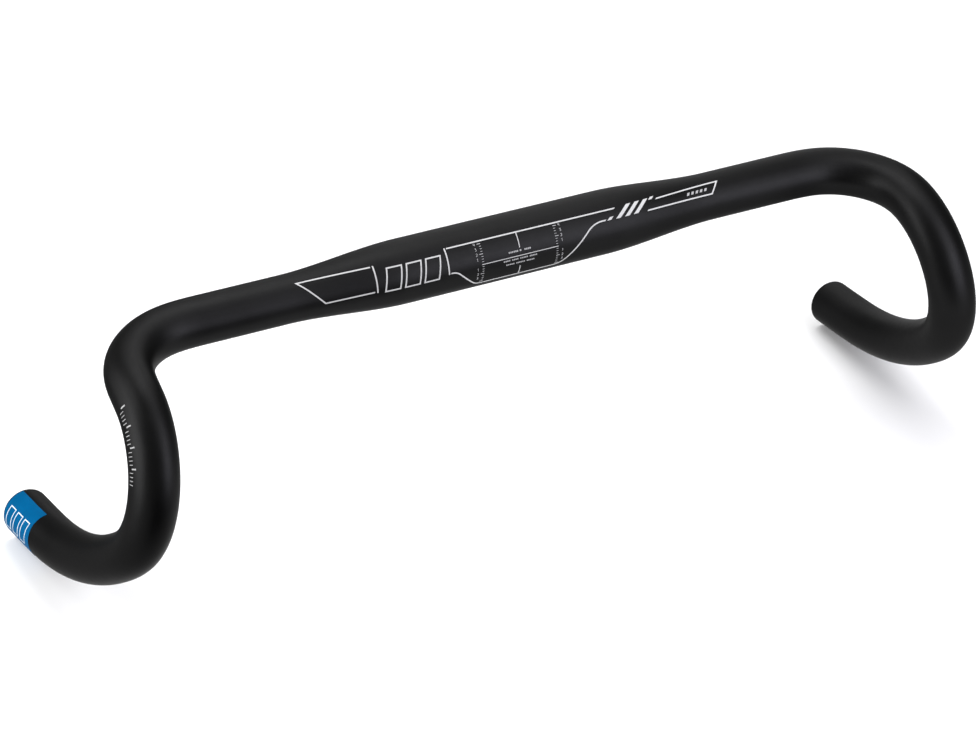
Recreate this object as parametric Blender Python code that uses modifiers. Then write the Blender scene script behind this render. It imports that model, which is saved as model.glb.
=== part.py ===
"""Flared compact drop handlebar, 420 mm centre to centre, for a 31.8 mm stem clamp.

One aluminium tube is bulged at the middle and bent in pairs of mirrored bends. Five
transfer films lie on the tops, one alignment scale on each hook and one vinyl label on
the outboard side of the right drop end.

X runs along the tops with the right side at -X, -Y is forward, +Z is up. The origin is
the middle of the clamp land's rear face, so the tube's axis lies just in front of it.
All lengths are in metres.
"""

import math
from collections import namedtuple

import bmesh
import bpy
from mathutils import Matrix, Quaternion, Vector

# ---------------------------------------------------------------- tube
CLAMP_RADIUS = 0.0159          # 31.8 mm stem clamp land
TUBE_RADIUS = 0.0119           # 23.8 mm grips, hooks and drops
WALL = 0.0018
CLAMP_HALF_LENGTH = 0.0540     # the land runs this far each side of the middle
TAPER_END = 0.1169             # the bulge has tapered down to the grip radius here
TOP_STRAIGHT = 0.1691          # middle to the start of the first bend

# Bends in order from the tops to the drop end:
# centreline radius, turn in degrees, plane in degrees (0 forward, 90 down), straight after
BENDS = (
    (0.0414, 67.7, 0.0, 0.0),      # tops into the ramp
    (0.0333, 20.7, 10.2, 0.0),     # ramp into the hood seat
    (0.0389, 52.0, 100.1, 0.0021),  # over the top of the hook
    (0.0430, 80.7, 102.0, 0.0063),  # front of the hook
    (0.1518, 33.6, 100.1, 0.0244),  # long sweep into the drop
)
EASE = 0.022                   # a bend eases in and out over this length

# ---------------------------------------------------------------- mesh fineness
SIDES = 24                     # facets round the tube
LINE_STEP = 0.00025            # between stations of the centreline
RING_TURN = math.radians(7.5)  # most turn between two rings
RING_STEP = 0.028              # most length between two rings
TAPER_DENSITY = 2.8            # rings are this many times closer in the taper
LAST_RING_GAP = 0.002          # least length between the last two rings
WELD_DISTANCE = 1e-6
MIRROR_MERGE_DISTANCE = 0.00005

# ---------------------------------------------------------------- films
FILM_GAP = 0.0003
FILM_THICKNESS = 0.0002

PRINT_ANGLE = math.radians(75.0)   # the print faces this far forward of straight up
PRINT_OFFSET = 0.0024              # the print sits this far along +X of the middle
PRINT_HALF_HEIGHT = 0.0122
PRINT_EDGE_STEP = 0.005            # longest piece of a subdivided outline edge
PRINT_MARGIN = 0.003               # uncut film beyond each end of the outline
PRINT_CUTTER_LIFT = 0.018          # tube axis to the middle of the cutter
PRINT_CUTTER_HALF_DEPTH = 0.0150

# Films on the tops: name, material, outline. An outline is in the unrolled print:
# along the bar (+X) from the print's middle, then round the bar from the print's
# centre line, positive down the front.
PRINTS = (
    ("side_panel_right", "film", (
        (-0.1165, -0.0114), (-0.0758, -0.0116), (-0.0758, 0.0024), (-0.1031, 0.0024))),
    ("slant_mark", "ink", (
        (-0.0738, -0.0104), (-0.0402, -0.0104), (-0.0402, 0.0036), (-0.0738, 0.0036))),
    ("clamp_scale_panel", "film", (
        (-0.0389, -PRINT_HALF_HEIGHT), (0.0556, -PRINT_HALF_HEIGHT),
        (0.0484, -0.0061), (0.0436, -0.0060), (0.0400, -0.0043),
        (0.0250, 0.0098), (0.0225, 0.0118),
        (0.0200, PRINT_HALF_HEIGHT), (-0.0232, PRINT_HALF_HEIGHT),
        (-0.0340, 0.0020), (-0.0352, 0.0015), (-0.0389, 0.0015))),
    ("bar_mark", "ink", (
        (0.0489, -0.0054), (0.0576, -0.0126), (0.0775, -0.0126), (0.0693, -0.0054))),
    ("side_panel_left", "film", (
        (0.0777, -0.0110), (0.1166, -0.0115), (0.1112, -0.0046), (0.0712, -0.0053))),
)

SCALE_START, SCALE_END = 0.2390, 0.2810   # lever scale, along the centreline
SCALE_ANGLE = math.radians(-157.0)        # outboard and a little above
SCALE_HALF_WIDTH = 0.0038
SCALE_MARGIN = 0.006                      # uncut film beyond each end of the scale
SCALE_POINTS = 15
SCALE_CUTTER_SIDES = 16

LABEL_START = 0.4174                      # along the centreline
LABEL_END_MARGIN = 0.0008                 # label to the end of the bar
LABEL_ANGLE = math.radians(-165.0)        # centred on the outboard side
LABEL_HALF_ARC = math.radians(79.5)
LABEL_ARC_STEPS = 8
LABEL_CUTTER_REACH = 0.030
LABEL_CUTTER_HALF_DEPTH = 0.030

RIGHT, LEFT = -1, 1                       # sign of X on each side

# The origin is on the flat of the rear facet.
AXIS = Vector((0.0, -CLAMP_RADIUS * math.cos(math.pi / SIDES), 0.0))


# ---------------------------------------------------------------- centreline
# forward and down are square to the tangent and are carried along without twist.
Station = namedtuple("Station", "length point tangent forward down")


def clamped(fraction):
    return min(max(fraction, 0.0), 1.0)


def radius_at(length):
    """Outer radius at a length from the middle: land, smooth taper, grip."""
    f = clamped((length - CLAMP_HALF_LENGTH) / (TAPER_END - CLAMP_HALF_LENGTH))
    return CLAMP_RADIUS + (TUBE_RADIUS - CLAMP_RADIUS) * f * f * (3.0 - 2.0 * f)


def eased_step(length, middle):
    """Rises from 0 to 1 over the ease length centred on middle."""
    return clamped((length - middle) / EASE + 0.5)


def sideways(forward, down, angle):
    """Direction square to the tangent, turned by angle from forward towards down."""
    return math.cos(angle) * forward + math.sin(angle) * down


def bend_spans():
    """Each bend as (start, end, curvature, plane), and the length of half the bar."""
    start = TOP_STRAIGHT
    spans = []
    for bend_radius, turn, plane, straight in BENDS:
        arc = bend_radius * math.radians(turn)
        spans.append((start, start + arc, 1.0 / bend_radius, math.radians(plane)))
        start += arc + straight
    return spans, start


def centreline():
    """Stations along the +X half, from the middle to the drop end."""
    spans, total = bend_spans()
    count = round(total / LINE_STEP)
    step = total / count
    point = AXIS
    tangent, forward, down = Vector((1, 0, 0)), Vector((0, -1, 0)), Vector((0, 0, -1))
    stations = [Station(0.0, point, tangent, forward, down)]
    for i in range(count):
        middle = (i + 0.5) * step
        curl = Vector((0, 0, 0))
        for start, end, curvature, plane in spans:
            share = eased_step(middle, start) - eased_step(middle, end)
            curl += share * curvature * sideways(forward, down, plane)
        bend = curl.length * step
        if bend > 1e-12:
            hinge = tangent.cross(curl).normalized()
            turn = Quaternion(hinge, bend)
            half_turn = Quaternion(hinge, bend / 2)
            point = point + step * (half_turn @ tangent)
            tangent, forward, down = turn @ tangent, turn @ forward, turn @ down
        else:
            point = point + step * tangent
        stations.append(Station((i + 1) * step, point, tangent, forward, down))
    return stations


LINE = centreline()
LENGTH = LINE[-1].length


def line_index(length):
    last = len(LINE) - 1
    return min(max(round(length / LENGTH * last), 0), last)


def station(length):
    return LINE[line_index(length)]


def ring_places(start, end):
    """Lengths at which a ring is set: close together in bends and in the taper."""
    places = [start]
    turned = travelled = 0.0
    for i in range(line_index(start) + 1, line_index(end)):
        here, before = LINE[i], LINE[i - 1]
        turned += here.tangent.angle(before.tangent, 0.0)
        in_taper = CLAMP_HALF_LENGTH < here.length < TAPER_END
        travelled += (here.length - before.length) * (TAPER_DENSITY if in_taper else 1.0)
        ring_due = turned >= RING_TURN or travelled >= RING_STEP
        if ring_due and end - here.length > LAST_RING_GAP:
            places.append(here.length)
            turned = travelled = 0.0
    places.append(end)
    return places


def top_ring_places(low, high):
    """Ring places along X on the tops, the same on both sides of the middle."""
    if high < 0:
        return [-s for s in reversed(ring_places(-high, -low))]
    if low < 0:
        return [-s for s in ring_places(0.0, -low)[:0:-1]] + ring_places(0.0, high)
    return ring_places(low, high)


# ---------------------------------------------------------------- building blocks
def start_clean():
    """Empties the scene and returns the collections for the parts and the cutters."""
    for obj in list(bpy.data.objects):
        bpy.data.objects.remove(obj, do_unlink=True)
    collections = []
    for name in ("drop_handlebar", "cutters"):
        collection = bpy.data.collections.new(name)
        bpy.context.scene.collection.children.link(collection)
        collections.append(collection)
    return collections


def material(name, colour, roughness, metallic=0.0):
    made = bpy.data.materials.new(name)
    made.use_nodes = True
    shader = made.node_tree.nodes["Principled BSDF"]
    shader.inputs["Base Color"].default_value = (*colour, 1.0)
    shader.inputs["Roughness"].default_value = roughness
    shader.inputs["Metallic"].default_value = metallic
    return made


def mesh_from_curve(curve, name, collection, matrix=Matrix()):
    """Turns a curve into a welded mesh object and removes the curve."""
    holder = bpy.data.objects.new(name, curve)
    collection.objects.link(holder)
    bpy.context.view_layer.update()
    graph = bpy.context.evaluated_depsgraph_get()
    mesh = bpy.data.meshes.new_from_object(holder.evaluated_get(graph))
    mesh.name = name
    bpy.data.objects.remove(holder, do_unlink=True)
    bpy.data.curves.remove(curve)

    work = bmesh.new()
    work.from_mesh(mesh)
    bmesh.ops.remove_doubles(work, verts=work.verts, dist=WELD_DISTANCE)
    work.to_mesh(mesh)
    work.free()

    made = bpy.data.objects.new(name, mesh)
    made.matrix_world = matrix
    collection.objects.link(made)
    return made


def tube_mesh(name, points, radii, collection, sides=SIDES, caps=False):
    """A round tube through the points, with its own radius at each."""
    curve = bpy.data.curves.new(name, "CURVE")
    curve.dimensions = "3D"
    curve.fill_mode = "FULL"
    curve.bevel_depth = TUBE_RADIUS
    curve.bevel_resolution = (sides - 4) // 2
    curve.use_fill_caps = caps
    spline = curve.splines.new("POLY")
    spline.points.add(len(points) - 1)
    for target, point, radius in zip(spline.points, points, radii):
        target.co = (*point, 1.0)
        target.radius = radius / TUBE_RADIUS
        target.tilt = math.pi / sides    # a flat, not an edge, faces straight back
    return mesh_from_curve(curve, name, collection)


def prism(name, outline, half_depth, matrix, collection):
    """A flat outline extruded both ways, as a closed solid."""
    curve = bpy.data.curves.new(name, "CURVE")
    curve.dimensions = "2D"
    curve.fill_mode = "BOTH"
    curve.extrude = half_depth
    spline = curve.splines.new("POLY")
    spline.points.add(len(outline) - 1)
    for target, (x, y) in zip(spline.points, outline):
        target.co = (x, y, 0.0, 1.0)
    spline.use_cyclic_u = True
    return mesh_from_curve(curve, name, collection, matrix)


def mirrored(vector, side):
    return Vector((vector.x * side, vector.y, vector.z))


def frame_matrix(place, x_axis, y_axis, z_axis):
    rotation = Matrix((x_axis, y_axis, z_axis)).transposed().to_4x4()
    return Matrix.Translation(place) @ rotation


def film_sleeve(name, points, places, collection):
    """Open sleeve that clears the tube by the film gap, thickened outwards."""
    radii = [radius_at(abs(s)) + FILM_GAP for s in places]
    sleeve = tube_mesh(name, points, radii, collection)
    shell = sleeve.modifiers.new("film", "SOLIDIFY")
    shell.thickness = FILM_THICKNESS
    shell.offset = 1.0
    shell.use_rim = True
    return sleeve


def top_sleeve(name, low, high, collection):
    """Film sleeve on the tops, between two places along X."""
    places = top_ring_places(low, high)
    points = [AXIS + Vector((s, 0, 0)) for s in places]
    return film_sleeve(name, points, places, collection)


def side_sleeve(name, start, end, side, collection):
    """Film sleeve on one half of the bar, between two lengths along the centreline."""
    places = ring_places(start, end)
    points = [mirrored(station(s).point, side) for s in places]
    return film_sleeve(name, points, places, collection)


def keep_inside(piece, cutter):
    """Trims the piece to the part inside the cutter, and hides the cutter."""
    cut = piece.modifiers.new("outline", "BOOLEAN")
    cut.operation = "INTERSECT"
    cut.solver = "EXACT"
    cut.object = cutter
    cutter.hide_render = True
    cutter.display_type = "WIRE"


# ---------------------------------------------------------------- the pieces
def bar_tube(parts, finish):
    places = ring_places(0.0, LENGTH)
    tube = tube_mesh("bar_tube", [station(s).point for s in places],
                     [radius_at(s) for s in places], parts)
    halves = tube.modifiers.new("other_half", "MIRROR")
    halves.use_axis = (True, False, False)
    halves.use_mirror_merge = True
    halves.merge_threshold = MIRROR_MERGE_DISTANCE
    wall = tube.modifiers.new("wall", "SOLIDIFY")
    wall.thickness = WALL
    wall.offset = -1.0
    wall.use_even_offset = True
    wall.use_rim = True
    tube.data.shade_smooth()
    tube.data.materials.append(finish)


def subdivided(outline):
    """The closed outline with its long edges cut up, so that it follows the taper."""
    made = []
    for (u0, v0), (u1, v1) in zip(outline, outline[1:] + outline[:1]):
        pieces = max(1, math.ceil(math.hypot(u1 - u0, v1 - v0) / PRINT_EDGE_STEP))
        made += [(u0 + (u1 - u0) * i / pieces, v0 + (v1 - v0) * i / pieces)
                 for i in range(pieces)]
    return made


def print_film(name, outline, parts, cutters, finish):
    """A film on the tops, cut by its unrolled outline seen square to the print."""
    seen = []
    for along, around in subdivided(outline):
        radius = radius_at(abs(along + PRINT_OFFSET))
        seen.append((along + PRINT_OFFSET, -radius * math.sin(around / radius)))
    outward = Vector((0.0, -math.sin(PRINT_ANGLE), math.cos(PRINT_ANGLE)))
    along_bar = Vector((1, 0, 0))
    matrix = frame_matrix(AXIS + outward * PRINT_CUTTER_LIFT,
                          along_bar, outward.cross(along_bar), outward)
    cutter = prism(name + "_outline", seen, PRINT_CUTTER_HALF_DEPTH, matrix, cutters)
    low = min(x for x, y in seen) - PRINT_MARGIN
    high = max(x for x, y in seen) + PRINT_MARGIN
    film = top_sleeve(name, low, high, parts)
    keep_inside(film, cutter)
    film.data.materials.append(finish)


def lever_scale(name, side, parts, cutters, finish):
    """A film strip along the hook, cut by a thin rod that follows the tube's surface."""
    film = side_sleeve(name, SCALE_START - SCALE_MARGIN, SCALE_END + SCALE_MARGIN, side, parts)
    points = []
    for i in range(SCALE_POINTS):
        here = station(SCALE_START + (SCALE_END - SCALE_START) * i / (SCALE_POINTS - 1))
        outward = sideways(here.forward, here.down, SCALE_ANGLE)
        points.append(mirrored(here.point + outward * TUBE_RADIUS, side))
    rod = tube_mesh(name + "_strip", points, [SCALE_HALF_WIDTH] * SCALE_POINTS, cutters,
                    sides=SCALE_CUTTER_SIDES, caps=True)
    keep_inside(film, rod)
    film.data.materials.append(finish)


def end_label(name, side, parts, cutters, finish):
    """A film part of the way round the drop end, cut by a sector-shaped prism."""
    end = LENGTH - LABEL_END_MARGIN
    film = side_sleeve(name, LABEL_START, end, side, parts)
    middle = station((LABEL_START + end) / 2)
    outward = mirrored(sideways(middle.forward, middle.down, LABEL_ANGLE), side)
    tangent = mirrored(middle.tangent, side)
    sector = [(0.0, 0.0)]
    for i in range(LABEL_ARC_STEPS + 1):
        angle = LABEL_HALF_ARC * (2 * i / LABEL_ARC_STEPS - 1)
        sector.append((LABEL_CUTTER_REACH * math.cos(angle),
                       LABEL_CUTTER_REACH * math.sin(angle)))
    matrix = frame_matrix(mirrored(middle.point, side),
                          outward, tangent.cross(outward), tangent)
    cutter = prism(name + "_sector", sector, LABEL_CUTTER_HALF_DEPTH, matrix, cutters)
    keep_inside(film, cutter)
    film.data.materials.append(finish)


def build():
    parts, cutters = start_clean()
    anodised = material("black_anodised_alloy", colour=(0.022, 0.022, 0.023),
                        roughness=0.42, metallic=0.6)
    finishes = {
        "film": material("transfer_film", colour=(0.030, 0.030, 0.034), roughness=0.35),
        "ink": material("printed_film", colour=(0.55, 0.55, 0.55), roughness=0.45),
    }
    vinyl = material("blue_vinyl", colour=(0.010, 0.160, 0.420), roughness=0.30)

    bar_tube(parts, anodised)
    for name, finish, outline in PRINTS:
        print_film(name, outline, parts, cutters, finishes[finish])
    lever_scale("lever_scale_right", RIGHT, parts, cutters, finishes["ink"])
    lever_scale("lever_scale_left", LEFT, parts, cutters, finishes["ink"])
    end_label("end_label_right", RIGHT, parts, cutters, vinyl)


build()
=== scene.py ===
"""Looks of a drop handlebar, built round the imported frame.

A fine hollow tube with real cut ends carries printed marks (thin raised ink, partly on thin
carrier films), a scale on each hook and a vinyl label at the right end. Everything rides on
the one body, "root". Metres, +Z up, -Y forward, so the bar's right half lies along -X.
"""
import math

import bmesh
import bpy
import numpy as np
from mathutils import Matrix, Quaternion, Vector


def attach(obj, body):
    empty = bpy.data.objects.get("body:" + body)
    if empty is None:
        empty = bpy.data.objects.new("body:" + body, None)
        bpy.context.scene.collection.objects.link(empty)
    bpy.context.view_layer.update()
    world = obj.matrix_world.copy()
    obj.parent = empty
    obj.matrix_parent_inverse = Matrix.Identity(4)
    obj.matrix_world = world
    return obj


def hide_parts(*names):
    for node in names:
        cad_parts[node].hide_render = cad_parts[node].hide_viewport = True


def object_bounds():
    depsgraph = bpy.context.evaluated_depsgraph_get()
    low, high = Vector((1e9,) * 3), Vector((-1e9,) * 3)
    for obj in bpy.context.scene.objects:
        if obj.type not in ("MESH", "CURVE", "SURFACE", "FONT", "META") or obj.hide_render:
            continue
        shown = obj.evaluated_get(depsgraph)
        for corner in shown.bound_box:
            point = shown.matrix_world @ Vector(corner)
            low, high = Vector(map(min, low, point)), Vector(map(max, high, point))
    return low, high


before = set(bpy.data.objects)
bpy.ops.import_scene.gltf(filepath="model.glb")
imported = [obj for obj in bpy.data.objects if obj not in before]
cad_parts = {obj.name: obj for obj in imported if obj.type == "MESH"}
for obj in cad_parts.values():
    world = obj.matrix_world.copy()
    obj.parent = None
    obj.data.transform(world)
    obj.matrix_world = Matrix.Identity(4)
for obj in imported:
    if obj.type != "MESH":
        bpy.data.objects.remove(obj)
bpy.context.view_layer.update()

MM = 0.001

# ---------------------------------------------------------------- the tube's centreline
CLAMP_RADIUS = 0.0159
TUBE_RADIUS = 0.0119
WALL = 0.0018
# lengths along one half, from the bar's middle
CLAMP_HALF_LENGTH = 0.0540
TAPER_END = 0.1169
TOP_STRAIGHT = 0.1691
# bends of one half: radius, turn in degrees, plane in degrees (0 forward, 90 down),
# straight after
BENDS = (
    (0.0414, 67.7, 0.0, 0.0),
    (0.0333, 20.7, 10.2, 0.0),
    (0.0389, 52.0, 100.1, 0.0021),
    (0.0430, 80.7, 102.0, 0.0063),
    (0.1518, 33.6, 100.1, 0.0244),
)
EASE = 0.022                    # length over which a bend's curvature comes and goes
LINE_STEP = 0.00025
AXIS = Vector((0.0, -CLAMP_RADIUS * math.cos(math.pi / 24), 0.0))   # the bar's middle


def radius_at(length):
    """Outer radius: the clamp land, a smooth taper, then the plain tube."""
    share = (np.abs(length) - CLAMP_HALF_LENGTH) / (TAPER_END - CLAMP_HALF_LENGTH)
    share = np.clip(share, 0.0, 1.0)
    return CLAMP_RADIUS + (TUBE_RADIUS - CLAMP_RADIUS) * share * share * (3.0 - 2.0 * share)


def eased(distance):
    """0 to 1 across the easing length centred on distance 0."""
    return min(max(distance / EASE + 0.5, 0.0), 1.0)


def centreline():
    """Rows of length, point, forward and down along the +X half; the frame turns with it."""
    spans = []
    length = TOP_STRAIGHT
    for radius, turn, plane, straight in BENDS:
        end = length + radius * math.radians(turn)
        spans.append((length, end, 1.0 / radius, math.radians(plane)))
        length = end + straight
    count = round(length / LINE_STEP)
    step = length / count
    point = AXIS.copy()
    tangent = Vector((1, 0, 0))
    forward = Vector((0, -1, 0))
    down = Vector((0, 0, -1))
    rows = [(0.0, *point, *forward, *down)]
    for i in range(count):
        at = (i + 0.5) * step
        curl = Vector((0, 0, 0))
        for start, end, curvature, plane in spans:
            share = eased(at - start) - eased(at - end)
            curl += share * curvature * (math.cos(plane) * forward + math.sin(plane) * down)
        angle = curl.length * step
        if angle > 1e-12:
            axis = tangent.cross(curl).normalized()
            turn = Quaternion(axis, angle)
            half_turn = Quaternion(axis, angle / 2)
            point = point + step * (half_turn @ tangent)
            tangent = turn @ tangent
            forward = turn @ forward
            down = turn @ down
        else:
            point = point + step * tangent
        rows.append(((i + 1) * step, *point, *forward, *down))
    return np.array(rows)


LINE = centreline()
LENGTH = LINE[-1, 0]


def on_tube(length, turn, height, side):
    """World points on one half (side 1 is +X, -1 is -X).

    length runs from the middle, turn is an angle (0 forward, 90 degrees down), height is
    measured from the skin.
    """
    row = length / LENGTH * (len(LINE) - 1)
    low = np.minimum(row.astype(int), len(LINE) - 2)
    share = (row - low)[:, None]
    mixed = LINE[low] * (1 - share) + LINE[low + 1] * share
    point, forward, down = mixed[:, 1:4], mixed[:, 4:7], mixed[:, 7:10]
    turn = turn[:, None]
    radius = (radius_at(length) + height)[:, None]
    placed = point + radius * (np.cos(turn) * forward + np.sin(turn) * down)
    placed[:, 0] *= side
    return placed


# ---------------------------------------------------------------- shader helpers
def grey(value):
    return (value, value, value)


def toned(colour, factor):
    return tuple(part * factor for part in colour)


class ShaderTree:
    """A small writer of material node trees. Methods return output sockets."""

    def __init__(self, name):
        self.material = bpy.data.materials.new(name)
        self.material.use_nodes = True
        self.node_tree = self.material.node_tree
        self.shader = self.node_tree.nodes["Principled BSDF"]
        self.coordinates = self.add("TexCoord").outputs["Object"]

    def link(self, source, target):
        """Feeds an input from a socket, a number or a colour."""
        if isinstance(source, bpy.types.NodeSocket):
            self.node_tree.links.new(source, target)
        elif isinstance(source, tuple):
            target.default_value = (*source, 1.0)
        else:
            target.default_value = source

    def add(self, kind, inputs=None, **settings):
        node = self.node_tree.nodes.new("ShaderNode" + kind)
        for name, value in settings.items():
            setattr(node, name, value)
        for key, source in (inputs or {}).items():
            self.link(source, node.inputs[key])
        return node

    def noise(self, scale, detail=3.0, roughness=0.55, where=None):
        return self.add("TexNoise", {
            "Scale": scale, "Detail": detail, "Roughness": roughness,
            "Vector": where or self.coordinates}).outputs["Fac"]

    def cells(self, scale):
        inputs = {"Scale": scale, "Vector": self.coordinates}
        return self.add("TexVoronoi", inputs).outputs["Distance"]

    def spread(self, source, over=(0.3, 0.7), to=(0.0, 1.0)):
        """Smoothly maps the source's range 'over' to the range 'to'."""
        return self.add("MapRange", {
            "From Min": over[0], "From Max": over[1], "To Min": to[0], "To Max": to[1],
            "Value": source}, interpolation_type="SMOOTHSTEP").outputs["Result"]

    def maths(self, operation, a, b=0.0, clamp=False):
        return self.add("Math", {0: a, 1: b}, operation=operation, use_clamp=clamp).outputs[0]

    def mix(self, factor, a, b):
        return self.add("Mix", {0: factor, 6: a, 7: b}, data_type="RGBA").outputs[2]

    def run(self, source, stops, low, high):
        """Grey values at places along a source, straight in between."""
        node = self.add("ValToRGB")
        ramp = node.color_ramp
        while len(ramp.elements) < len(stops):
            ramp.elements.new(0.5)
        # colours follow only once every place is set
        for element, (at, _) in zip(ramp.elements, stops):
            element.position = (at - low) / (high - low)
        for element, (_, value) in zip(ramp.elements, stops):
            element.color = (*grey(value), 1.0)
        share = self.maths("DIVIDE", self.maths("SUBTRACT", source, low), high - low)
        self.link(share, node.inputs["Fac"])
        return node.outputs["Color"]

    def attribute(self, name):
        return self.add("Attribute", attribute_name=name).outputs["Fac"]

    def stretched(self, **scales):
        """Coordinates made of mesh attributes, each times its own scale."""
        parts = [self.maths("MULTIPLY", self.attribute(name), scale)
                 for name, scale in scales.items()]
        return self.add("CombineXYZ", dict(enumerate(parts))).outputs[0]

    def bump(self, height, distance, strength, under=None):
        inputs = {"Strength": strength, "Distance": distance, "Height": height}
        if under is not None:
            inputs["Normal"] = under
        return self.add("Bump", inputs).outputs["Normal"]

    def finish(self, **inputs):
        for name, source in inputs.items():
            self.link(source, self.shader.inputs[name.replace("_", " ")])
        return self.material


# ---------------------------------------------------------------- materials
BODY_COLOUR = (0.0125, 0.0125, 0.0127)      # mirrored head on
BODY_EDGE = grey(0.60)                      # tint at grazing angles
BODY_ROUGHNESS = 0.42


def anodised(name, roughness=BODY_ROUGHNESS, worn=True):
    """Bead-blasted, matt black anodised alloy: an even grain, clouds of sheen, a worn rim."""
    tree = ShaderTree(name)
    grain = tree.noise(scale=3400.0, detail=2.0, roughness=0.6)
    peened = tree.cells(scale=1500.0)
    clouds = tree.noise(scale=38.0, roughness=0.5)
    mottle = tree.noise(scale=420.0, roughness=0.6)
    colour = tree.mix(tree.spread(clouds), toned(BODY_COLOUR, 0.92), toned(BODY_COLOUR, 1.08))
    speckle = tree.spread(grain, over=(0.35, 0.75), to=(0.0, 0.16))
    colour = tree.mix(speckle, colour, toned(BODY_COLOUR, 2.1))
    rough = tree.maths(
        "ADD",
        tree.spread(clouds, over=(0.25, 0.75), to=(roughness - 0.018, roughness + 0.018)),
        tree.spread(mottle, to=(-0.015, 0.015)))
    edge = BODY_EDGE
    if worn:
        patches = tree.noise(scale=650.0, roughness=0.6)
        chipped = tree.maths(
            "MULTIPLY",
            tree.spread(tree.attribute("rim"), over=(0.55, 1.0)),
            tree.spread(patches, over=(0.42, 0.62), to=(0.25, 1.0)), clamp=True)
        colour = tree.mix(chipped, colour, (0.16, 0.16, 0.165))
        edge = tree.mix(chipped, edge, grey(0.9))
        polish = tree.maths("MULTIPLY", chipped, -0.06)
        rough = tree.maths("ADD", rough, polish)
    normal = tree.bump(peened, distance=0.000022, strength=0.42)
    normal = tree.bump(grain, distance=0.000012, strength=0.50, under=normal)
    return tree.finish(Base_Color=colour, Roughness=rough, Metallic=1.0, Specular_Tint=edge,
                       Normal=normal)


def cut_alloy(name):
    """The sawn and deburred end: bright turned rings under a thin dark bloom."""
    tree = ShaderTree(name)
    rings = tree.noise(scale=1.0, detail=2.0, roughness=0.5,
                       where=tree.stretched(across=16000.0, around=6.0))
    stain = tree.noise(scale=320.0, roughness=0.6)
    colour = tree.mix(tree.spread(rings, over=(0.35, 0.65)),
                      (0.20, 0.20, 0.205), (0.42, 0.42, 0.43))
    colour = tree.mix(tree.spread(stain, over=(0.38, 0.70)), colour, (0.07, 0.07, 0.074))
    return tree.finish(Base_Color=colour, Metallic=0.9,
                       Roughness=tree.spread(rings, to=(0.30, 0.46)),
                       Normal=tree.bump(rings, distance=0.000015, strength=0.6))


def drawn_bore(name):
    """Inside of the tube: dull drawn alloy with lines along it."""
    tree = ShaderTree(name)
    lines = tree.noise(scale=1.0, roughness=0.6,
                       where=tree.stretched(along=28.0, around=110.0))
    dust = tree.noise(scale=260.0, detail=4.0, roughness=0.6)
    colour = tree.mix(tree.spread(lines), (0.085, 0.085, 0.088), (0.16, 0.16, 0.165))
    colour = tree.mix(tree.spread(dust, over=(0.45, 0.75), to=(0.0, 0.5)), colour, grey(0.05))
    return tree.finish(Base_Color=colour, Metallic=0.75, Roughness=0.50,
                       Normal=tree.bump(lines, distance=0.00003, strength=0.5))


def ink(name, colour, roughness=0.50, wear=0.5):
    """Screen-printed ink: slightly uneven cover, a fine mesh texture and a few thin spots."""
    tree = ShaderTree(name)
    cover = tree.noise(scale=1600.0, roughness=0.6)
    weave = tree.cells(scale=5200.0)
    spots = tree.noise(scale=700.0, detail=4.0, roughness=0.65)
    thin = tree.spread(spots, over=(0.66, 0.78), to=(0.0, wear))
    tone = tree.mix(tree.spread(cover), toned(colour, 0.93), toned(colour, 1.05))
    tone = tree.mix(thin, tone, toned(colour, 0.45))
    normal = tree.bump(weave, distance=0.000008, strength=0.35)
    normal = tree.bump(cover, distance=0.000012, strength=0.35, under=normal)
    return tree.finish(Base_Color=tone, Specular_IOR_Level=0.15, Normal=normal,
                       Roughness=tree.spread(cover, to=(roughness - 0.04, roughness + 0.04)))


def vinyl(name, colour, roughness=0.34):
    """Printed vinyl: soft orange peel, faint rubs, a tone that varies a little."""
    tree = ShaderTree(name)
    peel = tree.noise(scale=620.0, detail=2.0, roughness=0.5)
    fine = tree.noise(scale=4200.0, detail=2.0, roughness=0.5)
    clouds = tree.noise(scale=75.0, detail=2.0, roughness=0.5)
    rubs = tree.noise(scale=1.0, detail=4.0, roughness=0.7,
                      where=tree.stretched(along=160.0, around=130.0))
    tone = tree.mix(tree.spread(clouds), toned(colour, 0.93), toned(colour, 1.06))
    speckle = tree.spread(fine, over=(0.62, 0.80), to=(0.0, 0.10))
    tone = tree.mix(speckle, tone, tuple(part * 1.5 + 0.01 for part in colour))
    rough = tree.maths("ADD", tree.spread(peel, to=(roughness - 0.02, roughness + 0.03)),
                       tree.spread(rubs, over=(0.55, 0.75), to=(0.0, 0.10)))
    normal = tree.bump(peel, distance=0.000030, strength=0.30)
    normal = tree.bump(fine, distance=0.000006, strength=0.3, under=normal)
    return tree.finish(Base_Color=tone, Roughness=rough, Specular_IOR_Level=0.01,
                       Normal=normal)


CAMERA_AZIMUTH = math.radians(-30.115)      # 0 is in front (-Y), positive towards +X

# Glow of the floor as the bar sees it: distance towards the camera from the origin, glow.
# One run for the middle and right of the camera's view, one for its left.
GLOW_RIGHT = (
    (-0.60, 0.65), (-0.20, 0.68), (-0.08, 0.85), (-0.03, 1.00), (0.06, 1.20),
    (0.11, 1.60), (0.16, 1.60), (0.21, 0.80), (0.27, 0.40), (0.33, 0.00))
GLOW_LEFT = (
    (-0.60, 0.35), (-0.20, 0.30), (-0.03, 0.20), (0.06, 0.43), (0.14, 0.73),
    (0.24, 0.90), (0.35, 0.60), (0.80, 0.70))
GLOW_FULL = 2.0                             # emission strength at a glow value of 1
FLOOR_LIFT = 0.62                           # emission the camera sees far out


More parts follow.
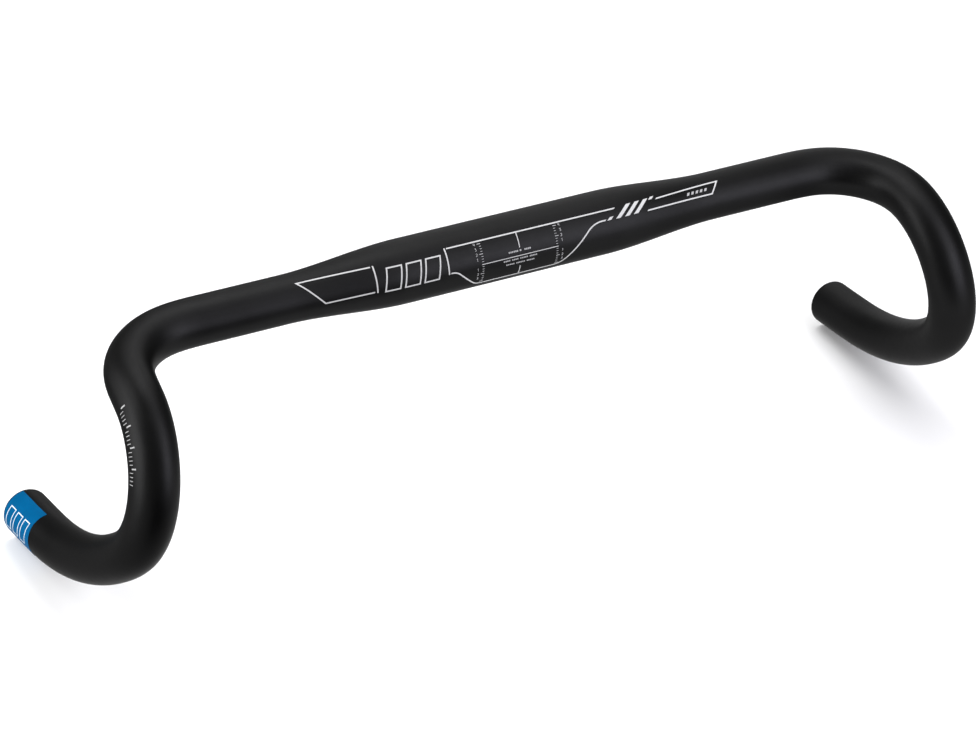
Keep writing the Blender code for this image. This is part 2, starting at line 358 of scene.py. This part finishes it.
def pale_floor(name):
    """A plain pale floor to the camera; the bar sees a tuned glow instead."""
    tree = ShaderTree(name)
    soft = tree.noise(scale=9.0, detail=2.0, roughness=0.5)
    fine = tree.noise(scale=900.0, detail=2.0, roughness=0.5)
    pale = tree.mix(tree.spread(soft), (0.885, 0.886, 0.888), grey(0.90))
    parts = tree.add("SeparateXYZ", {0: tree.coordinates})
    x, y = parts.outputs["X"], parts.outputs["Y"]

    def weighted(x_weight, y_weight):
        return tree.maths("ADD", tree.maths("MULTIPLY", x, x_weight),
                          tree.maths("MULTIPLY", y, y_weight))

    sine, cosine = math.sin(CAMERA_AZIMUTH), math.cos(CAMERA_AZIMUTH)
    nearer = weighted(sine, -cosine)
    rightward = weighted(cosine, sine)
    left, right = (
        tree.run(nearer, [(at, value / GLOW_FULL) for at, value in stops], low=-0.7, high=0.9)
        for stops in (GLOW_LEFT, GLOW_RIGHT))
    glow = tree.mix(tree.spread(rightward, over=(-0.22, -0.10)), left, right)
    seen = tree.add("LightPath").outputs["Is Camera Ray"]
    # beyond the softboxes' pool the floor is lifted to the same pale tone
    away = tree.maths("SQRT", weighted(x, y))
    lifted = tree.spread(away, over=(0.35, 1.30), to=(0.0, FLOOR_LIFT / GLOW_FULL))
    return tree.finish(Base_Color=tree.mix(seen, grey(0.0), pale), Roughness=0.85,
                       Specular_IOR_Level=0.0, Emission_Color=tree.mix(seen, glow, lifted),
                       Emission_Strength=GLOW_FULL,
                       Normal=tree.bump(fine, distance=0.00005, strength=0.1))


# ---------------------------------------------------------------- mesh helpers
def new_piece(name, node, mesh, slot, *materials):
    """An object that rides on the root and stands in for a CAD node."""
    piece = bpy.data.objects.new(name, mesh)
    bpy.context.scene.collection.objects.link(piece)
    for material in materials:
        mesh.materials.append(material)
    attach(piece, "root")
    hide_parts(node)


def add_attribute(mesh, name, values):
    layer = mesh.attributes.new(name, "FLOAT", "POINT")
    layer.data.foreach_set("value", np.asarray(values, np.float32))


def face_outwards(mesh, even_out=False):
    """Turns a closed mesh's faces outwards, first making them agree if even_out."""
    work = bmesh.new()
    work.from_mesh(mesh)
    if even_out:
        bmesh.ops.recalc_face_normals(work, faces=work.faces)
    if work.calc_volume(signed=True) < 0:
        bmesh.ops.reverse_faces(work, faces=work.faces)
    work.to_mesh(mesh)
    work.free()
    mesh.update()


# ---------------------------------------------------------------- the tube
TUBE_SIDES = 96
LAND_STEP, BEND_STEP = 0.0040, 0.00175      # ring spacing on the clamp land and beyond it
OUTER_ROUND, INNER_ROUND = 0.00035, 0.00022     # roundings of the cut end
OUTER_ROUND_STEPS, INNER_ROUND_STEPS, CUT_STEPS = 5, 4, 4
RING_GAP = 0.0004               # least length from the last even ring to the rounding
BORE_START, BORE_CLEAR = 0.0015, 0.003      # first bore ring, and where even ones may begin
RIM_WEAR = 0.0010               # length of skin over which the "rim" attribute rises
SKIN, CUT, BORE = 0, 1, 2       # material slots


def ring_places():
    places = [0.0]
    length = 0.0
    while length < LENGTH:
        length += LAND_STEP if length < CLAMP_HALF_LENGTH - LAND_STEP else BEND_STEP
        places.append(min(length, LENGTH))
    return places


def tube_profile():
    """Rings of one half as length, height and kind: skin outwards, end, bore back."""
    even = [place for place in ring_places() if place < LENGTH - OUTER_ROUND - RING_GAP]
    profile = [(place, 0.0, SKIN) for place in even]
    profile.append((LENGTH - OUTER_ROUND, 0.0, SKIN))
    for i in range(1, OUTER_ROUND_STEPS + 1):
        angle = math.pi / 2 * i / OUTER_ROUND_STEPS
        profile.append((LENGTH - OUTER_ROUND * (1 - math.sin(angle)),
                        -OUTER_ROUND * (1 - math.cos(angle)), SKIN))
    for i in range(1, CUT_STEPS + 1):
        depth = OUTER_ROUND + (WALL - OUTER_ROUND - INNER_ROUND) * (i / CUT_STEPS)
        profile.append((LENGTH, -depth, CUT))
    for i in range(1, INNER_ROUND_STEPS + 1):
        angle = math.pi / 2 * i / INNER_ROUND_STEPS
        profile.append((LENGTH - INNER_ROUND * (1 - math.cos(angle)),
                        -WALL + INNER_ROUND * (1 - math.sin(angle)), CUT))
    profile.append((LENGTH - BORE_START, -WALL, BORE))
    inward = [place for place in even[::-1] if place < LENGTH - BORE_CLEAR]
    profile += [(place, -WALL, BORE) for place in inward[::2] if place > 0.0]
    profile.append((0.0, -WALL, BORE))
    return profile


def tube_shell(name):
    """One closed surface: skin, rounded rim, cut face, rounded inner rim and bore, both ends."""
    profile = tube_profile()
    # the lap: +X skin outwards, end, bore back through the middle, -X end, skin back
    lap = [(*ring, 1) for ring in profile] + [(*ring, -1) for ring in profile[::-1][1:-1]]
    count = len(lap)
    sides = TUBE_SIDES
    turn = (np.arange(sides) + 0.5) * 2 * math.pi / sides
    points = np.concatenate([on_tube(np.full(sides, length), turn, height, side)
                             for length, height, _, side in lap])
    ring = np.arange(count)[:, None]
    here = np.arange(sides)[None, :]
    following = (ring + 1) % count
    beside = (here + 1) % sides
    quads = np.stack([ring * sides + here, ring * sides + beside,
                      following * sides + beside, following * sides + here], -1)
    mesh = bpy.data.meshes.new(name)
    mesh.from_pydata(points.tolist(), [], quads.reshape(-1, 4).tolist())
    kinds = [CUT if CUT in (first[2], after[2]) else max(first[2], after[2])
             for first, after in zip(lap, lap[1:] + lap[:1])]
    mesh.polygons.foreach_set("material_index", np.repeat(kinds, sides).astype(np.int32))
    mesh.polygons.foreach_set("use_smooth", np.ones(count * sides, bool))
    rim = [max(0.0, 1.0 - (LENGTH - length) / RIM_WEAR) if kind == SKIN else 1.0
           for length, _, kind, _ in lap]
    along = [length * side for length, _, _, side in lap]
    across = [-height for _, height, _, _ in lap]
    for label, values in (("along", along), ("rim", rim), ("across", across)):
        add_attribute(mesh, label, np.repeat(values, sides))
    add_attribute(mesh, "around", np.tile(turn / (2 * math.pi), count))
    face_outwards(mesh)
    return mesh


# ---------------------------------------------------------------- drawings laid on the skin
# Drawings are flat, in mm: u along the bar, v round it.
PRINT_ANGLE = math.radians(75.0)    # the tops print's middle, from the top towards the front
PRINT_OFFSET = 0.0024               # its middle along +X
AROUND_SCALE = 0.075                # arc length taken as 1 in the drawings' "around"
LINE_GRID, FILM_GRID, ARC_GRID = 1.6, 2.0, 1.0      # mm, steps of the cutting grids


def tops_surface(u, v, height):
    """The tops: u towards +X, v down over the front from the print's middle."""
    x = u * MM + PRINT_OFFSET
    radius = radius_at(x)
    turn = PRINT_ANGLE + v * MM / radius
    radius = radius + height
    return np.stack([AXIS.x + x, AXIS.y - radius * np.sin(turn),
                     AXIS.z + radius * np.cos(turn)], -1)


def hook_surface(side, middle):
    """One half: u is the length from the bar's middle, v the arc from the angle 'middle'."""
    def place(u, v, height):
        length = u * MM
        turn = middle + v * MM / radius_at(length)
        return on_tube(length, turn, height, side)
    return place


def unit(vector):
    return vector / np.linalg.norm(vector)


def quarter_turned(way):
    return np.array([-way[1], way[0]])


def rounded_corner(before, corner, after, reach, steps):
    """Points of a curve that leaves the corner's sides 'reach' away from it."""
    before, corner, after = (np.array(point, float) for point in (before, corner, after))
    first = corner + unit(before - corner) * reach
    last = corner + unit(after - corner) * reach
    shares = [k / steps for k in range(steps + 1)]
    return [tuple((1 - t) ** 2 * first + 2 * t * (1 - t) * corner + t * t * last)
            for t in shares]


def filleted(points, reaches, steps):
    """The open polyline with each inner corner rounded by its own reach."""
    made = [points[0]]
    for before, corner, after, reach in zip(points, points[1:], points[2:], reaches):
        made += rounded_corner(before, corner, after, reach, steps)
    return made + [points[-1]]


def rounded_outline(points, reach, steps=5):
    """A closed outline with rounded corners."""
    made = []
    for before, corner, after in zip(points[-1:] + points[:-1], points, points[1:] + points[:1]):
        made += rounded_corner(before, corner, after, reach, steps)
    return made


MITRE_LEAST = 0.22              # keeps sharp mitres from running away


def mitre(way_in, way_out, width):
    """Offset from the line to the ribbon's edge at a corner."""
    normal = unit(quarter_turned(way_in + way_out))
    return normal * (width / 2) / max(normal @ quarter_turned(way_in), MITRE_LEAST)


def end_offset(way, width, cut):
    """Offset at a free end: square, or along the cut's direction."""
    normal = quarter_turned(way)
    if cut is None:
        return normal * width / 2
    direction = unit(np.array(cut, float))
    direction *= np.sign(direction @ normal)
    return direction * (width / 2) / (direction @ normal)


def stroke(work, points, width, closed=False, start_cut=None, end_cut=None):
    """A mitred ribbon along a polyline, as flat faces. A cut slants an end: its direction."""
    points = [np.array(point, float) for point in points]
    ways = [unit(after - point) for point, after in zip(points, points[1:] + points[:1])]
    rails = []
    for i, point in enumerate(points):
        if closed or 0 < i < len(points) - 1:
            offset = mitre(ways[i - 1], ways[i], width)
        elif i == 0:
            offset = end_offset(ways[0], width, start_cut)
        else:
            offset = end_offset(ways[-2], width, end_cut)
        rails.append((work.verts.new((*(point + offset), 0.0)),
                      work.verts.new((*(point - offset), 0.0))))
    pairs = list(zip(rails, rails[1:] + rails[:1]))
    if not closed:
        pairs.pop()
    for (a, b), (c, d) in pairs:
        work.faces.new((a, b, d, c))


def polygon(work, points):
    work.faces.new([work.verts.new((x, y, 0.0)) for x, y in points])


def gridded(work, step_u, step_v):
    """Cuts the flat faces along a grid, so that they can follow the round skin."""
    for axis, step in ((0, step_u), (1, step_v)):
        values = [vert.co[axis] for vert in work.verts]
        first = math.ceil(min(values) / step + 1e-6)
        last = math.floor(max(values) / step - 1e-6)
        for i in range(first, last + 1):
            where = Vector((0, 0, 0))
            facing = Vector((0, 0, 0))
            # a hair off the round value, so that the cut misses the drawing's own corners
            where[axis] = i * step + 1e-4
            facing[axis] = 1.0
            bmesh.ops.bisect_plane(work, geom=work.verts[:] + work.edges[:] + work.faces[:],
                                   dist=1e-5, plane_co=where, plane_no=facing)


def laid(name, draw, surface, heights, step_u):
    """The drawing laid on a surface between two heights, as closed raised shapes."""
    flat = bmesh.new()
    draw(flat)
    bmesh.ops.remove_doubles(flat, verts=flat.verts, dist=1e-4)
    gridded(flat, step_u, ARC_GRID)
    bmesh.ops.remove_doubles(flat, verts=flat.verts, dist=2e-4)
    flat.verts.index_update()
    places = np.array([vert.co[:2] for vert in flat.verts])
    faces = [tuple(vert.index for vert in face.verts) for face in flat.faces]
    rims = []
    for edge in flat.edges:
        if len(edge.link_faces) == 1:
            loop = edge.link_loops[0]
            rims.append((loop.vert.index, loop.link_loop_next.vert.index))
    flat.free()
    count = len(places)
    u, v = places[:, 0], places[:, 1]
    low, high = heights
    points = np.concatenate([surface(u, v, high), surface(u, v, low)])
    undersides = [tuple(i + count for i in face[::-1]) for face in faces]
    walls = [(b, a, a + count, b + count) for a, b in rims]
    mesh = bpy.data.meshes.new(name)
    mesh.from_pydata(points.tolist(), [], faces + undersides + walls)
    add_attribute(mesh, "along", np.tile(u * MM, 2))
    add_attribute(mesh, "around", np.tile(v * MM / AROUND_SCALE, 2))
    face_outwards(mesh, even_out=True)
    return mesh


# ---------------------------------------------------------------- drawings on the tops, in mm
LINE_WIDTH = 0.68
SLANT = (1.29, -1.0)            # direction of the slanted line ends
CROSS_LINE_V = 0.3              # the line along the middle of the clamp scale
TICK_PITCH, TICK_SHIFT = 1.27, 0.15     # rotation scale, v


def slanted_outlines(work, left, foot, head, width, gap, lean, line):
    """Three outlined slanted bars in a row; foot and head are their v, the head leans to +u."""
    for i in range(3):
        x = left + i * (width + gap)
        corners = [(x + lean, head), (x + lean + width, head), (x + width, foot), (x, foot)]
        stroke(work, corners, line, closed=True)


def slanted_block(work, left, foot, head, width, lean):
    """A filled slanted bar."""
    polygon(work, [(left, foot), (left + width, foot),
                   (left + width + lean, head), (left + lean, head)])


def draw_side_panel_right(work):
    stroke(work, [(-77.7, -11.0), (-114.9, -10.8), (-102.7, 1.9), (-77.8, 1.5)], LINE_WIDTH)
    stroke(work, [(-76.4, -11.45), (-76.4, 2.1)], LINE_WIDTH)


def draw_slant_mark(work):
    slanted_outlines(work, left=-72.4, foot=2.3, head=-8.9, width=7.7, gap=2.6, lean=2.3,
                     line=LINE_WIDTH)


def draw_clamp_outline(work):
    """Left bar, upper and lower border, and a cross of finer lines with an open middle."""
    upper, lower = -11.38, 11.8
    inset = LINE_WIDTH / 2 + 0.03
    stroke(work, [(-38.6, -11.9), (-38.6, 1.4)], LINE_WIDTH)
    stroke(work, [(-37.6, -11.5), (54.6, -11.3)], LINE_WIDTH, end_cut=SLANT)
    border = filleted(
        [(-37.6, 1.0), (-34.4, 1.0), (-23.2, lower), (22.3, lower), (41.2, -6.5), (48.2, -6.5)],
        reaches=[2.6, 2.6, 3.6, 5.2], steps=8)
    stroke(work, border, LINE_WIDTH, end_cut=SLANT)
    stroke(work, [(0.0, upper + inset), (0.0, -3.7)], 0.44)
    stroke(work, [(0.0, 5.9), (0.0, lower - LINE_WIDTH / 2 - 0.03)], 0.44)
    stroke(work, [(-20.9, CROSS_LINE_V), (20.9, CROSS_LINE_V)], 0.34)


# v, height, and the start and end u of each word
SMALL_PRINT = (
    (-2.25, 0.82, ((-6.2, -0.8), (-0.2, 1.0), (2.4, 6.1))),
    (1.75, 0.70, ((-9.2, -5.4), (-4.6, -1.0), (-0.2, 4.2), (5.0, 9.2))),
    (3.85, 0.66, ((-7.8, -3.1), (-2.3, 2.6), (3.4, 7.8))),
)


def draw_small_print(work):
    """Three lines of small print, kept as rows of plain blocks the length of its words."""
    for v, height, words in SMALL_PRINT:
        for start, end in words:
            blocks = max(1, round((end - start) / 0.86))
            pitch = (end - start) / blocks
            for i in range(blocks):
                stroke(work, [(start + i * pitch, v), (start + (i + 0.70) * pitch, v)], height)


def draw_rotation_ticks(work):
    """Two columns of ticks round the land, longer at every fourth."""
    for side in (-1, 1):
        for i in range(-8, 9):
            v = i * TICK_PITCH + TICK_SHIFT
            if abs(v - CROSS_LINE_V) < 0.4:
                continue        # the cross line stands here
            long = i % 4 == 0
            start = 19.75
            end = 21.6 if long else 20.75
            stroke(work, [(side * start, v), (side * end, v)], 0.32 if long else 0.24)


# strokes of each figure in a box one high; x runs to about 0.6, y upwards
FIGURES = {
    1: [[(0.12, 0.78), (0.34, 0.97), (0.34, 0.0)]],
    2: [[(0.05, 0.80), (0.16, 0.95), (0.42, 0.95), (0.54, 0.80), (0.54, 0.62), (0.07, 0.05),
         (0.60, 0.05)]],
    3: [[(0.05, 0.95), (0.54, 0.95), (0.28, 0.58), (0.46, 0.54), (0.56, 0.40), (0.56, 0.18),
         (0.42, 0.04), (0.06, 0.04)]],
    4: [[(0.06, 1.0), (0.06, 0.36), (0.34, 0.36)], [(0.46, 1.0), (0.46, 0.0)]],
}


def draw_rotation_figures(work):
    """A figure at every second tick: 1 to 4 above the middle, 1 to 3 below it."""
    column, size, width = 23.1, 1.35, 0.19
    for side in (-1, 1):
        for sign, highest in ((-1, 4), (1, 3)):
            for figure in range(1, highest + 1):
                v = sign * figure * (2 * TICK_PITCH) + TICK_SHIFT
                for line in FIGURES[figure]:
                    stroke(work, [(side * column + (x - 0.3) * size, v + (0.5 - y) * size)
                                  for x, y in line], width)


def draw_bar_mark(work):
    """Three long slanted bars between two short ones."""
    for i in range(3):
        slanted_block(work, left=53.9 + i * 5.1, foot=-6.0, head=-11.9, width=2.6, lean=7.6)
    slanted_block(work, left=48.9, foot=-6.1, head=-7.5, width=2.1, lean=1.9)
    slanted_block(work, left=74.3, foot=-10.9, head=-12.2, width=2.1, lean=1.6)


def draw_side_panel_left(work):
    stroke(work, [(78.7, -10.5), (115.2, -11.0), (110.4, -5.2), (72.4, -5.9)], LINE_WIDTH,
           start_cut=SLANT, end_cut=SLANT)


def draw_left_dashes(work):
    """A short row of slanted ticks."""
    for i in range(5):
        slanted_block(work, left=96.2 + i * 2.55, foot=-7.35, head=-8.75, width=1.35, lean=0.9)


RIGHT_FILM = [(-117.6, -11.8), (-75.7, -12.0), (-75.7, 2.7), (-103.4, 2.7)]
CLAMP_FILM = [(-39.3, -12.2), (56.2, -12.0), (48.8, -5.8), (41.6, -5.6), (22.7, 12.5),
              (-23.6, 12.5), (-35.0, 1.9), (-39.3, 1.9)]
LEFT_FILM = [(77.6, -11.2), (117.4, -11.7), (111.2, -4.3), (70.8, -5.1)]

# ---------------------------------------------------------------- drawings on the hooks, in mm
SCALE_MIDDLE = math.radians(-157.0)
SCALE_START, SCALE_PITCH = 242.9, 1.82
LABEL_MIDDLE = math.radians(-165.0)
LABEL_START, LABEL_END = 417.4, (LENGTH - 0.0010) / MM
LABEL_HALF = math.radians(79.5) * TUBE_RADIUS / MM


def draw_lever_scale(work):
    """Twenty ticks along the hook; the heavier ones stand to one side. Angles in degrees."""
    for i in range(20):
        u = SCALE_START + SCALE_PITCH * i
        # the row starts straight and then curves away
        drift = max((u - 247.0) / 30.0, 0.0)
        centre = -159.25 - 0.25 * drift - 5.5 * drift * drift
        half, width = 6.7, 0.31
        if i % 5 == 0:
            centre += 9.6
            half, width = 7.1, 0.60
        ends = (math.radians(centre + reach) - SCALE_MIDDLE for reach in (-half, half))
        stroke(work, [(u, end * TUBE_RADIUS / MM) for end in ends], width)


def draw_label(work):
    corners = [(LABEL_START, -LABEL_HALF), (LABEL_END, -LABEL_HALF),
               (LABEL_END, LABEL_HALF), (LABEL_START, LABEL_HALF)]
    polygon(work, rounded_outline(corners, reach=0.5))


def draw_label_mark(work):
    slanted_outlines(work, left=420.6, foot=-7.4, head=4.0, width=5.4, gap=2.9, lean=2.2,
                     line=0.54)


# ---------------------------------------------------------------- build the pieces
# lowest and highest surface of each layer, from the skin
FILM_HEIGHTS = (-0.02 * MM, 0.025 * MM)
INK_HEIGHTS = (-0.01 * MM, 0.070 * MM)
VINYL_HEIGHTS = (-0.01 * MM, 0.11 * MM)
LABEL_INK_HEIGHTS = (0.09 * MM, 0.15 * MM)

skin = anodised("satin_black_alloy")
carrier = anodised("carrier_film", roughness=BODY_ROUGHNESS - 0.012, worn=False)
silver = ink("silver_grey_ink", grey(0.55))
fine_silver = ink("fine_silver_ink", (0.40, 0.40, 0.405), wear=0.3)
blue = vinyl("blue_vinyl", (0.0006, 0.080, 0.206))
white = ink("white_ink", (0.60, 0.68, 0.72), roughness=0.40, wear=0.2)


def film_piece(name, node, corners):
    def draw(work):
        polygon(work, rounded_outline(corners, reach=0.8))

    mesh = laid(name, draw, tops_surface, FILM_HEIGHTS, FILM_GRID)
    new_piece(name, node, mesh, "transfer_film", carrier)


def ink_piece(name, node, draw, material=silver, slot="print_ink", surface=tops_surface,
              heights=INK_HEIGHTS):
    new_piece(name, node, laid(name, draw, surface, heights, LINE_GRID), slot, material)


new_piece("bar_tube_shell", "bar_tube", tube_shell("bar_tube_shell"), "black_alloy",
          skin, cut_alloy("cut_end_alloy"), drawn_bore("drawn_bore_alloy"))

film_piece("side_panel_right_film", "side_panel_right", RIGHT_FILM)
ink_piece("side_panel_right_print", "side_panel_right", draw_side_panel_right)
ink_piece("slant_mark_print", "slant_mark", draw_slant_mark)
film_piece("clamp_scale_film", "clamp_scale_panel", CLAMP_FILM)
ink_piece("clamp_scale_outline", "clamp_scale_panel", draw_clamp_outline)
for part, draw_part in (("small_print", draw_small_print), ("ticks", draw_rotation_ticks),
                        ("figures", draw_rotation_figures)):
    ink_piece("clamp_scale_" + part, "clamp_scale_panel", draw_part, fine_silver)
ink_piece("bar_mark_print", "bar_mark", draw_bar_mark)
film_piece("side_panel_left_film", "side_panel_left", LEFT_FILM)
ink_piece("side_panel_left_print", "side_panel_left", draw_side_panel_left)
ink_piece("side_panel_left_dashes", "side_panel_left", draw_left_dashes, fine_silver)

for side, word in ((-1, "right"), (1, "left")):
    ink_piece("lever_scale_%s_ticks" % word, "lever_scale_" + word, draw_lever_scale,
              fine_silver, surface=hook_surface(side, SCALE_MIDDLE))
label_surface = hook_surface(-1, LABEL_MIDDLE)
ink_piece("end_label_right_vinyl", "end_label_right", draw_label, blue, slot="blue_vinyl",
          surface=label_surface, heights=VINYL_HEIGHTS)
ink_piece("end_label_right_mark", "end_label_right", draw_label_mark, white,
          surface=label_surface, heights=LABEL_INK_HEIGHTS)

# ---------------------------------------------------------------- stage
FLOOR_SIZE = 6.0
FLOOR_GAP = 0.0002              # keeps the floor just clear of the bar
SURROUND_TO_BAR, SURROUND_TO_CAMERA = 0.365, 0.95


def from_azimuth(azimuth, elevation):
    """Unit vector away from the bar, angles in radians; azimuth 0 is -Y, a right angle +X."""
    return Vector((math.sin(azimuth) * math.cos(elevation),
                   -math.cos(azimuth) * math.cos(elevation), math.sin(elevation)))


def build_floor():
    mesh = bpy.data.meshes.new("floor")
    work = bmesh.new()
    bmesh.ops.create_grid(work, x_segments=8, y_segments=8, size=FLOOR_SIZE)
    work.to_mesh(mesh)
    work.free()
    floor = bpy.data.objects.new("floor", mesh)
    floor.location = (0.0, 0.0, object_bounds()[0].z - FLOOR_GAP)
    mesh.materials.append(pale_floor("pale_floor"))
    bpy.context.scene.collection.objects.link(floor)


def build_surround():
    """An even white surround, softer to the bar than to the camera."""
    world = bpy.data.worlds.new("studio")
    bpy.context.scene.world = world
    world.use_nodes = True
    nodes, links = world.node_tree.nodes, world.node_tree.links
    background = nodes["Background"]
    background.inputs["Color"].default_value = (1.0, 1.0, 1.0, 1.0)
    ray = nodes.new("ShaderNodeLightPath")
    strength = nodes.new("ShaderNodeMapRange")
    strength.inputs["To Min"].default_value = SURROUND_TO_BAR
    strength.inputs["To Max"].default_value = SURROUND_TO_CAMERA
    links.new(ray.outputs["Is Camera Ray"], strength.inputs["Value"])
    links.new(strength.outputs["Result"], background.inputs["Strength"])


NEUTRAL, COOL, COOLER = (1.0, 1.0, 1.0), (0.98, 0.975, 1.045), (0.95, 0.93, 1.12)
SMALL, LARGE = (0.75, 0.45), (1.60, 0.80)       # distance and size of a softbox
# softboxes: name, azimuth and elevation in degrees, distance and size, watts, colour
LIGHTS = (
    ("left_low", -90, 10, SMALL, 2.93, NEUTRAL),
    ("left_back_low", -120, 10, SMALL, 1.04, NEUTRAL),
    ("left_high", -108, 38, SMALL, 1.80, NEUTRAL),
    ("right_low", 30, 12, LARGE, 3.18, COOLER),
    ("front_low", 30, 10, SMALL, 1.76, COOL),
    ("front_high", 36, 38, SMALL, 1.79, COOL),
    ("front_top", 36, 68, SMALL, 0.76, COOL),
    ("back_low", 150, 12, LARGE, 2.68, NEUTRAL),
    ("back_right", 144, 38, SMALL, 1.07, NEUTRAL),
    ("back_high", 180, 38, SMALL, 0.66, NEUTRAL),
    ("back_top", 180, 68, SMALL, 2.08, NEUTRAL),
    ("right_top", 108, 68, SMALL, 0.89, NEUTRAL),
)
LIGHT_AIM = Vector((0.0, -0.03, -0.04))


def build_lights():
    for name, azimuth, elevation, (distance, size), watts, colour in LIGHTS:
        data = bpy.data.lights.new(name, "AREA")
        data.shape = "SQUARE"
        data.size = size
        data.energy = watts
        data.color = colour
        away = from_azimuth(math.radians(azimuth), math.radians(elevation))
        lamp = bpy.data.objects.new(name, data)
        lamp.location = LIGHT_AIM + away * distance
        lamp.rotation_mode = "QUATERNION"
        lamp.rotation_quaternion = away.to_track_quat("Z", "Y")
        lamp.visible_camera = False
        bpy.context.scene.collection.objects.link(lamp)


CAMERA_ELEVATION = math.radians(35.088)
CAMERA_ROLL = math.radians(3.989)
CAMERA_DISTANCE = 1.99599
CAMERA_LENS, CAMERA_SENSOR = 151.374049, 36.0       # mm
# where the bar's middle stands in the view, from the view's middle
BAR_RIGHTWARD, BAR_UPWARD = 0.0051799258, 0.058570846


def build_camera():
    back = from_azimuth(CAMERA_AZIMUTH, CAMERA_ELEVATION)
    level = Vector((math.cos(CAMERA_AZIMUTH), math.sin(CAMERA_AZIMUTH), 0.0))
    upward = back.cross(level)
    right = level * math.cos(CAMERA_ROLL) + upward * math.sin(CAMERA_ROLL)
    above = -level * math.sin(CAMERA_ROLL) + upward * math.cos(CAMERA_ROLL)
    data = bpy.data.cameras.new("camera")
    data.lens = CAMERA_LENS
    data.sensor_width = CAMERA_SENSOR
    data.clip_start = 0.05
    data.clip_end = 50.0
    camera = bpy.data.objects.new("camera", data)
    camera.location = (AXIS - right * BAR_RIGHTWARD - above * BAR_UPWARD
                       + back * CAMERA_DISTANCE)
    camera.rotation_mode = "QUATERNION"
    camera.rotation_quaternion = Matrix((right, above, back)).transposed().to_quaternion()
    bpy.context.scene.collection.objects.link(camera)
    bpy.context.scene.camera = camera


build_floor()
build_surround()
build_lights()
build_camera()
bpy.context.scene.view_settings.view_transform = "Standard"
